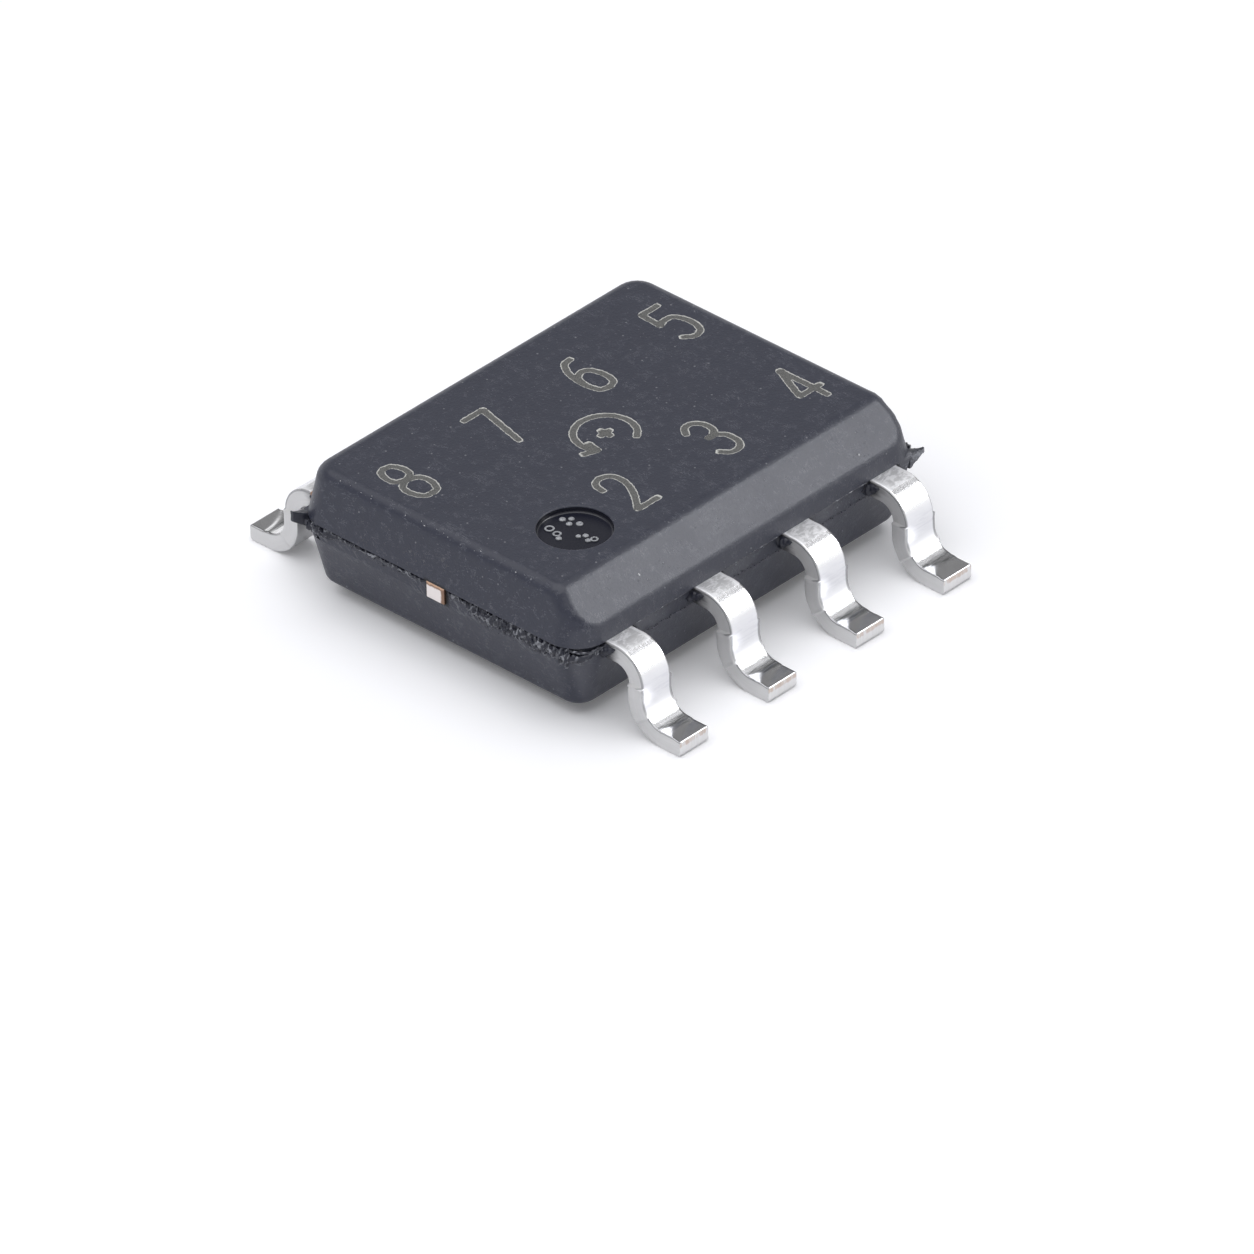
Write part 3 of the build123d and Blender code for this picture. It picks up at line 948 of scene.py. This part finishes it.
def make_lead(pin):
    row, place = divmod(pin - 1, 4)
    way = 1 - 2 * row
    centre = (place - 1.5) * lead_pitch
    chance = random.Random(40 + pin)
    stations = lead_stations()
    last = stations[-1][3]
    widths = [s[4] for s in stations]
    widened, narrowed = [k for k in range(1, len(widths)) if abs(widths[k] - widths[k - 1]) > 0.001][:2]
    bm = welded(f"lead_{pin}")
    # Only the finger inside the housing is kept from the CAD mesh
    cut = bmesh.ops.bisect_plane(
        bm,
        geom=[*bm.verts, *bm.edges, *bm.faces],
        plane_co=(0, -way * (seam_y - buried_start), 0),
        plane_no=(0, -way, 0),
        clear_outer=True,
    )
    bmesh.ops.contextual_create(bm, geom=[e for e in cut["geom_cut"] if isinstance(e, bmesh.types.BMEdge)])
    sheet = bm.loops.layers.uv.new("sheet")
    bare = bm.verts.layers.float.new("bare")
    offset = Vector((chance.uniform(0, 50), chance.uniform(0, 50), pin * 7.3))
    rings, rounds = [], []
    for k, (out, height, turn, length, width) in enumerate(stations):
        outside = length > 0.03
        roll = 0.012 + (0.014 * max(0.0, 1 - abs(length - 0.12) / 0.22) if outside else 0)
        half = width / 2
        points = section(half, roll)
        up = Vector((math.sin(turn), math.cos(turn)))
        ear = 0.0
        if widened <= k < widened + 4:
            ear = 0.012 * (1 - (k - widened) / 4)
        elif narrowed - 4 <= k < narrowed:
            ear = 0.010 * (1 - (narrowed - 1 - k) / 4)
        loop, round_about, gone = [], [], 0.0
        for j, (across, level) in enumerate(points):
            edge = 0.0
            if outside and abs(across) > half - 0.03:
                edge = 0.0035 * noise.noise(offset + Vector((across * 9, length * 14, level * 8)))
                edge += 0.0022 * noise.noise(offset + Vector((across * 9, length * 55, level * 20)))
                edge += ear * (0.6 + 0.5 * noise.noise(offset + Vector((across * 20, level * 25, 4.0))))
            sag = 0.0
            if outside and level > 0:
                sag = 0.0012 * abs(noise.noise(offset + Vector((across * 5, length * 7, 3.0))))
                sag += foot_drop(across, length)
                if last - length < 0.010:
                    sag += 0.010 - math.sqrt(max(0.0, 0.010**2 - (0.010 - last + length) ** 2))
            elif level < 0 and last - length < toe_round:
                sag = math.sqrt(max(0.0, toe_round**2 - (toe_round - last + length) ** 2)) - toe_round
            x = across + math.copysign(edge, across)
            z = level - sag
            place_out = out + up.x * z
            place_up = height + up.y * z
            made = bm.verts.new((way * (centre + x), -way * min(place_out, toe_end), max(place_up, 0.0)))
            # The plating of lead 8 is worn through by the wall
            if pin == 8 and -buried_start < length < 0.16:
                made[bare] = 1.0
            loop.append(made)
            if j:
                gone += math.dist(points[j], points[j - 1])
            round_about.append(gone)
        rings.append(loop)
        rounds.append((round_about, gone + math.dist(points[-1], points[0]), length))
    for (a, (ra, ta, la)), (b, (rb, tb, lb)) in zip(zip(rings, rounds), zip(rings[1:], rounds[1:])):
        for j in range(len(a)):
            following = (j + 1) % len(a)
            face = bm.faces.new((a[j], a[following], b[following], b[j]))
            face.smooth = True
            values = (
                (ra[j], la),
                (ra[following] if following else ta, la),
                (rb[following] if following else tb, lb),
                (rb[j], lb),
            )
            for corner, (round_at, length) in zip(face.loops, values):
                corner[sheet].uv = (round_at if j < len(a) / 2 else round_at - ta, length)
    start = bm.faces.new(rings[0])
    toe = bm.faces.new(rings[-1])
    toe.material_index = 1
    bmesh.ops.recalc_face_normals(bm, faces=bm.faces)
    for edge in [*toe.edges, *start.edges]:
        edge.smooth = False
    made = piece_from(bm, f"formed_lead_{pin}", [tin, sheared])
    made.data.set_sharp_from_angle(angle=math.radians(35))
    return made


for pin in range(1, 9):
    lead = make_lead(pin)
    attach(lead, "root")
    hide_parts(f"lead_{pin}")


def make_flash(name, way):
    """Torn flash along the parting line of one short end, open round the tie bar."""
    bm = bmesh.new()
    crest = bm.verts.layers.float.new("crest")
    offset = Vector((way * 31.0, 5.0, 2.0))
    around = 20
    for first, last in ((-1.80, -0.150), (0.160, 1.80)):
        count = round((last - first) / 0.006)
        rings = []
        for k in range(count + 1):
            y = first + (last - first) * k / count
            taper = min(1.0, (k + 1) / 6, (count + 1 - k) / 6)
            # The flash is torn more coarsely on the side of leads 1 to 4, and is a ledge at the other corner
            coarse = soft_step(-y, 0.25, 0.65) + 0.8 * soft_step(y, 1.25, 1.60)
            lump = 0.5 + 0.5 * noise.noise(offset + Vector((0, y * 5.5, 0)))
            chip = noise.noise(offset + Vector((3, y * 24, 0)))
            tooth = noise.noise(offset + Vector((7, y * 60, 0)))
            reach = (0.014 + 0.012 * lump + 0.012 * chip + 0.008 * tooth + 0.020 * coarse) * taper
            drop = 0.012 + 0.010 * lump + 0.012 * chip
            drop = (drop + coarse * (0.026 + 0.032 * lump + 0.030 * chip)) * taper
            middle_z = frame_top - 0.024 - drop
            loop = []
            for j in range(around):
                angle = 2 * math.pi * j / around
                x = max(math.cos(angle), -0.35) * reach
                z = math.sin(angle) * drop
                spot = Vector((x * 14, y * 13 + z * 6, z * 24 - y * 9))
                strand = 1 - 3.4 * abs(noise.noise(offset + spot))
                rough = noise.noise(offset + spot * 2.1)
                grow = 1 + 0.34 * strand + 0.30 * rough
                out = min(seam_x + 0.004 + x * grow, flash_limit - 0.003)
                v = bm.verts.new((way * out, y, middle_z + z * grow))
                v[crest] = held(0.25 + 0.75 * strand + 0.2 * rough)
                loop.append(v)
            rings.append(loop)
        close_tube(bm, rings)
    bmesh.ops.recalc_face_normals(bm, faces=bm.faces)
    return piece_from(bm, name, [torn])


for name, way in (("flash_near_end", -1), ("flash_far_end", 1)):
    flash = make_flash(name, way)
    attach(flash, "root")


def make_corner_tab(name, way, inner_tip, top_drop, bottom_rise, torn_share):
    """The tab of flash at one corner: it thins outwards to a slightly upturned tip, and its side is torn."""
    bm = bmesh.new()
    crest = bm.verts.layers.float.new("crest")
    offset = Vector((way * 17.0, 1.0, 8.0))
    inner_root = -1.78
    rings = []
    for k in range(25):
        x = tab_root + (tab_tip - tab_root) * k / 24
        share = max(0.0, (x - tab_stub_high) / (tab_tip - tab_stub_high))
        outer = -seam_y + 0.002
        inner = inner_root + (inner_tip - inner_root) * share
        top = frame_top - 0.002 - top_drop * share + 0.016 * share**6
        bottom = frame_bottom + 0.005 + bottom_rise * share
        loop = []
        for j in range(24):
            angle = 2 * math.pi * j / 24
            c, s = math.cos(angle), math.sin(angle)
            y = (outer + inner) / 2 - (inner - outer) / 2 * math.copysign(abs(c) ** 0.25, c)
            z = (top + bottom) / 2 + (top - bottom) / 2 * math.copysign(abs(s) ** 0.25, s)
            spot = Vector((x, y, z))
            rough = noise.noise(offset + spot * 30) + 0.6 * noise.noise(offset + spot * 75)
            side = max(0.0, c) * (1 - max(0.0, s) ** 6)
            v = bm.verts.new(
                (
                    way * min(x + 0.006 * rough * share, flash_limit),
                    way * max(y + 0.007 * rough * (0.2 + side), -seam_y),
                    z + 0.005 * rough * min(1.0, 2 * share) * (0.0 if s > 0.9 else 1.0),
                )
            )
            v[crest] = held(torn_share * side * (0.95 + 0.4 * rough))
            loop.append(v)
        rings.append(loop)
    close_tube(bm, rings)
    bmesh.ops.recalc_face_normals(bm, faces=bm.faces)
    for face in bm.faces:
        face.smooth = len(face.verts) == 4
    made = piece_from(bm, name, [torn])
    made.data.set_sharp_from_angle(angle=math.radians(50))
    return made


for name, *shape in (
    ("corner_tab_lead_4", 1, -1.900, 0.040, 0.105, 1.0),
    ("corner_tab_lead_8", -1, -1.880, -0.055, 0.130, 0.4),
):
    tab = make_corner_tab(name, *shape)
    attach(tab, "root")


def make_strands(name, lines, rough, crest_level, finish):
    """Thin ragged strands along lines of (x, y, z, radius), as one mesh."""
    bm = bmesh.new()
    crest = bm.verts.layers.float.new("crest")
    for k, line in enumerate(lines):
        offset = Vector((k * 9.1, k * 3.7, len(lines) * 1.3))
        stations = smooth_line([Vector(point) for point in line], 0.010)
        rings = []
        for j, station in enumerate(stations):
            ahead = (stations[min(j + 1, len(stations) - 1)] - stations[max(j - 1, 0)]).xyz.normalized()
            side = ahead.cross(Vector((0, 0, 1))).normalized()
            up = side.cross(ahead)
            loop = []
            for i in range(12):
                angle = 2 * math.pi * i / 12
                way = side * math.cos(angle) + up * math.sin(angle)
                spot = offset + (station.xyz + way * station.w) * 34
                chip = noise.noise(spot) + 0.5 * noise.noise(spot * 2.6)
                radius = max(0.0015, station.w * (1 + rough * chip))
                x, y, z = station.xyz + way * radius
                x = min(max(x, -flash_limit), flash_limit)
                v = bm.verts.new((x, y, min(z, housing_top - 0.001)))
                v[crest] = held(crest_level + 0.6 * chip)
                loop.append(v)
            rings.append(loop)
        close_tube(bm, rings)
    bmesh.ops.recalc_face_normals(bm, faces=bm.faces)
    for face in bm.faces:
        face.smooth = True
    made = piece_from(bm, name, [finish])
    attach(made, "root")


def make_island():
    bm = welded("die_paddle")
    bmesh.ops.dissolve_limit(bm, angle_limit=math.radians(1), verts=bm.verts, edges=bm.edges)
    bmesh.ops.bevel(
        bm, geom=bm.edges[:], offset=0.008, segments=2, profile=0.5, affect="EDGES", clamp_overlap=True
    )
    bmesh.ops.recalc_face_normals(bm, faces=bm.faces)
    return piece_from(bm, "island", [copper])


island = make_island()
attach(island, "root")
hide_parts("die_paddle")


def crumb_tree():
    """Geometry Nodes: small broken crumbs strewn along a line."""
    tree = bpy.data.node_groups.new("crumbs along a line", "GeometryNodeTree")
    for name, kind, way in (
        ("Line", "NodeSocketGeometry", "INPUT"),
        ("Spacing", "NodeSocketFloat", "INPUT"),
        ("Size", "NodeSocketFloat", "INPUT"),
        ("Spread", "NodeSocketVector", "INPUT"),
        ("Seed", "NodeSocketInt", "INPUT"),
        ("Finish", "NodeSocketMaterial", "INPUT"),
        ("Crumbs", "NodeSocketGeometry", "OUTPUT"),
    ):
        tree.interface.new_socket(name, in_out=way, socket_type=kind)
    start = Value(tree)
    line = start.node("NodeGroupInput")
    given = {socket.name: Value(tree, socket) for socket in line.socket.node.outputs if socket.name}
    curve = start.node("GeometryNodeMeshToCurve", values={0: line})
    points = start.node(
        "GeometryNodeCurveToPoints", {"mode": "LENGTH"}, {"Curve": curve, "Length": given["Spacing"]}
    )
    back = start.node("ShaderNodeVectorMath", {"operation": "SCALE"}, {0: given["Spread"], 3: -1.0})
    drift = start.node(
        "FunctionNodeRandomValue",
        {"data_type": "FLOAT_VECTOR"},
        {0: back, 1: given["Spread"], "Seed": given["Seed"]},
    )
    moved = start.node("GeometryNodeSetPosition", values={"Geometry": points, "Offset": drift})
    stone = start.node("GeometryNodeMeshIcoSphere", values={"Radius": given["Size"], "Subdivisions": 2})
    turn = start.node(
        "FunctionNodeRandomValue",
        {"data_type": "FLOAT_VECTOR"},
        {0: (0.0, 0.0, 0.0), 1: (6.28, 6.28, 6.28), "Seed": given["Seed"] + 1},
    )
    big = start.node(
        "FunctionNodeRandomValue",
        {"data_type": "FLOAT_VECTOR"},
        {0: (0.25, 0.25, 0.2), 1: (1.2, 1.0, 0.8), "Seed": given["Seed"] + 2},
    )
    placed = start.node(
        "GeometryNodeInstanceOnPoints",
        values={"Points": moved, "Instance": stone, "Rotation": turn, "Scale": big},
    )
    real = start.node("GeometryNodeRealizeInstances", values={0: placed})
    place = start.node("GeometryNodeInputPosition")
    dent = start.node(
        "ShaderNodeTexNoise", values={"Vector": place, "Scale": 60000.0, "Detail": 2.0}, output=1
    )
    level = start.node(
        "ShaderNodeVectorMath", {"operation": "SUBTRACT"}, {0: dent, 1: (0.5, 0.5, 0.5)}
    )
    push = start.node("ShaderNodeVectorMath", {"operation": "SCALE"}, {0: level, 3: given["Size"] * 1.6})
    broken = start.node("GeometryNodeSetPosition", values={"Geometry": real, "Offset": push})
    coloured = start.node(
        "GeometryNodeSetMaterial", values={"Geometry": broken, "Material": given["Finish"]}
    )
    start.node("NodeGroupOutput", values={0: coloured})
    return tree


crumbs = crumb_tree()


def strew(name, lines, spacing, size, spread, seed, finish, crest=0.7):
    """Crumbs along lines given in millimetres, as one plain mesh."""
    mesh = bpy.data.meshes.new(name + " line")
    verts, edges = [], []
    for line in lines:
        base = len(verts)
        verts += [tuple(c * MM for c in point) for point in line]
        edges += [(base + k, base + k + 1) for k in range(len(line) - 1)]
    mesh.from_pydata(verts, edges, [])
    carrier = bpy.data.objects.new(name + " line", mesh)
    bpy.context.scene.collection.objects.link(carrier)
    modifier = carrier.modifiers.new("crumbs", "NODES")
    modifier.node_group = crumbs
    names = {s.name: s.identifier for s in crumbs.interface.items_tree if s.in_out == "INPUT"}
    modifier[names["Spacing"]] = spacing * MM
    modifier[names["Size"]] = size * MM
    modifier[names["Spread"]] = [c * MM for c in spread]
    modifier[names["Seed"]] = seed
    modifier[names["Finish"]] = finish
    evaluated = carrier.evaluated_get(bpy.context.evaluated_depsgraph_get())
    plain = bpy.data.meshes.new_from_object(evaluated)
    plain.name = name
    bpy.data.objects.remove(carrier)
    values = plain.attributes.new("crest", "FLOAT", "POINT")
    values.data.foreach_set("value", np.full(len(plain.vertices), crest, np.float32))
    made = bpy.data.objects.new(name, plain)
    bpy.context.scene.collection.objects.link(made)
    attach(made, "root")


def gaps_between_leads():
    """The stretches of a long side's parting line that lie between leads."""
    clear = shoulder_width / 2 + 0.03
    for k in range(3):
        yield (k - 1.5) * lead_pitch + clear, (k - 0.5) * lead_pitch - clear


# Resin that has crept along both sides of each lead, tapering out from the wall
webs = []
for row in (-1, 1):
    for place in range(4):
        for hand in (-1, 1):
            x = (place - 1.5) * lead_pitch + hand * neck_width / 2
            webs.append(
                [
                    (x, row * 1.89, 0.838, 0.080),
                    (x, row * 1.95, 0.842, 0.064),
                    (x, row * 2.02, 0.868, 0.034),
                    (x, row * 2.075, 0.893, 0.010),
                ]
            )
make_strands("resin_by_leads", webs, 0.55, 0.18, torn)

# A fine pale line along the upper half's lower edge between the leads: a thin strand coloured pale as a
# painted highlight of that edge
parting_edge_highlight_lines = []
for a, b in gaps_between_leads():
    for side in (-1, 1):
        y, z = side * (half_width - 0.002), frame_top - 0.001
        parting_edge_highlight_lines.append([(a, y, z, 0.004), ((a + b) / 2, y, z, 0.006), (b, y, z, 0.004)])
make_strands("parting_edge_highlight", parting_edge_highlight_lines, 0.8, 0.55, torn)

# Flash drawn round the corner by lead 1, and a curled flake standing off it
corner_lines = [
    [
        (-2.455, -1.50, 0.845, 0.040),
        (-2.450, -1.68, 0.835, 0.046),
        (-2.405, -1.84, 0.835, 0.044),
        (-2.330, -1.905, 0.850, 0.036),
        (-2.200, -1.925, 0.865, 0.030),
        (-2.110, -1.935, 0.875, 0.022),
    ],
    [
        (-2.440, -1.72, 0.905, 0.012),
        (-2.380, -1.87, 0.900, 0.013),
        (-2.290, -1.935, 0.890, 0.012),
        (-2.217, -1.945, 0.905, 0.010),
        (-2.110, -1.955, 0.885, 0.006),
    ],
]
make_strands("corner_flash_lead_1", corner_lines, 0.6, 0.55, torn)

side_lines = [
    [(a, side * (seam_y + 0.012), frame_bottom + 0.012), (b, side * (seam_y + 0.012), frame_bottom + 0.012)]
    for a, b in gaps_between_leads()
    for side in (-1, 1)
]
strew("parting_crumbs", side_lines, 0.026, 0.009, (0.006, 0.004, 0.014), 3, torn, 0.5)
end_lines = [
    [(end * (seam_x + 0.014), y0, z), (end * (seam_x + 0.014), y1, z)]
    for end in (-1, 1)
    for y0, y1, z in ((-1.62, -0.40, 0.80), (-1.50, -0.60, 0.74), (0.25, 1.6, 0.855))
]
strew("end_crumbs", end_lines, 0.026, 0.008, (0.008, 0.012, 0.030), 8, torn, 0.75)

# Dust caught on the bevel, and along the rounded upper edge of the end by lead 1
specks = [
    [(-1.405, -1.748, 1.281, 0.006), (-1.397, -1.748, 1.281, 0.013), (-1.389, -1.748, 1.281, 0.006)],
    [(1.680, -1.829, 1.200, 0.005), (1.687, -1.829, 1.200, 0.011), (1.694, -1.829, 1.200, 0.005)],
]
make_strands("bevel_specks", specks, 0.4, 0.9, dusty)
dust_lines = [
    [(-2.330, -1.2, 1.452), (-2.330, 1.5, 1.452)],
    [(-2.395, -1.5, 1.20), (-2.395, 1.4, 1.20)],
]
strew("edge_dust", dust_lines, 0.11, 0.006, (0.020, 0.060, 0.015), 21, dusty)


def put_stage():
    """Pale floor, soft studio light and the camera."""
    bm = bmesh.new()
    bmesh.ops.create_grid(bm, x_segments=2, y_segments=2, size=600)
    for v in bm.verts:
        v.co.z = -0.001
    floor = piece_from(bm, "floor", [floor_finish()])

    world = bpy.data.worlds.new("studio")
    bpy.context.scene.world = world
    world.use_nodes = True
    tree = world.node_tree
    tree.nodes.clear()
    start = Value(tree)
    path = start.node("ShaderNodeLightPath")
    rays = {socket.name: Value(tree, socket) for socket in path.socket.node.outputs}
    seen = (rays["Is Camera Ray"] + rays["Is Glossy Ray"] + rays["Is Transmission Ray"]).least(1.0)
    towards = start.node("ShaderNodeSeparateXYZ", values={0: start.node("ShaderNodeTexCoord")}, output=2)
    # The white backdrop ends at about 25 degrees up, and the room over it is dimmer
    level = 0.22 + 0.78 * towards.between(0.50, 0.34)
    soft = start.node("ShaderNodeBackground", values={0: (0.92, 0.94, 1.0, 1), 1: 0.30})
    white = start.node("ShaderNodeBackground", values={0: (1.0, 1.0, 1.0, 1), 1: level})
    both = start.node("ShaderNodeMixShader", values={0: seen, 1: soft, 2: white})
    start.node("ShaderNodeOutputWorld", values={0: both})

    def softbox(name, shape, place, aim, size, radiance, colour):
        """An area lamp facing aim, as bright as radiance times white."""
        light = bpy.data.lights.new(name, "AREA")
        light.shape = shape
        light.size = size
        area = size**2 * (math.pi / 4 if shape == "DISK" else 1)
        light.energy = radiance * math.pi * area
        light.color = colour
        lamp = bpy.data.objects.new(name, light)
        lamp.location = place
        lamp.rotation_euler = (Vector(place) - Vector(aim)).to_track_quat("Z", "Y").to_euler()
        bpy.context.scene.collection.objects.link(lamp)
        return lamp

    above, below = (-0.04, 0.02, 0.20), (-0.04, 0.02, 0)
    softbox("overhead softbox", "DISK", above, below, 0.36, 1.64, (0.985, 0.985, 1.0))
    key = Vector((0.596, -0.556, 0.580)) * 0.3
    fill = softbox("front softbox", "SQUARE", key, (0, 0, 0), 0.155, 6.0, (0.975, 0.985, 1.0))
    fill.visible_diffuse = False

    lens = bpy.data.cameras.new("camera")
    lens.lens = view_lens
    lens.sensor_width = 36
    lens.clip_start = 0.01
    lens.clip_end = 10
    camera = bpy.data.objects.new("camera", lens)
    a, e = math.radians(view_azimuth), math.radians(view_height)
    back = Vector((math.sin(a) * math.cos(e), -math.cos(a) * math.cos(e), math.sin(e)))
    right = (-back).cross(Vector((0, 0, 1))).normalized()
    up = right.cross(-back)
    turn = math.radians(view_roll)
    rolled_right = right * math.cos(turn) + up * math.sin(turn)
    rolled_up = up * math.cos(turn) - right * math.sin(turn)
    place = (Vector(view_aim) + back * view_distance) * MM
    camera.matrix_world = Matrix.Translation(place) @ Matrix(
        (
            (rolled_right.x, rolled_up.x, back.x, 0),
            (rolled_right.y, rolled_up.y, back.y, 0),
            (rolled_right.z, rolled_up.z, back.z, 0),
            (0, 0, 0, 1),
        )
    )
    bpy.context.scene.collection.objects.link(camera)
    bpy.context.scene.camera = camera
    bpy.context.scene.view_settings.view_transform = "Standard"


put_stage()

# The pieces inside the housing keep their CAD meshes, in their own finishes
inner = {"die_attach": adhesive_finish(), "sensor_die": silicon_finish()}
wire_gold = gold_finish()
for name, node in nodes.items():
    finish = inner.get(name) or (wire_gold if name.startswith("bond_wire") else None)
    if finish:
        for slot in node.material_slots:
            slot.material = finish

bpy.context.view_layer.update()
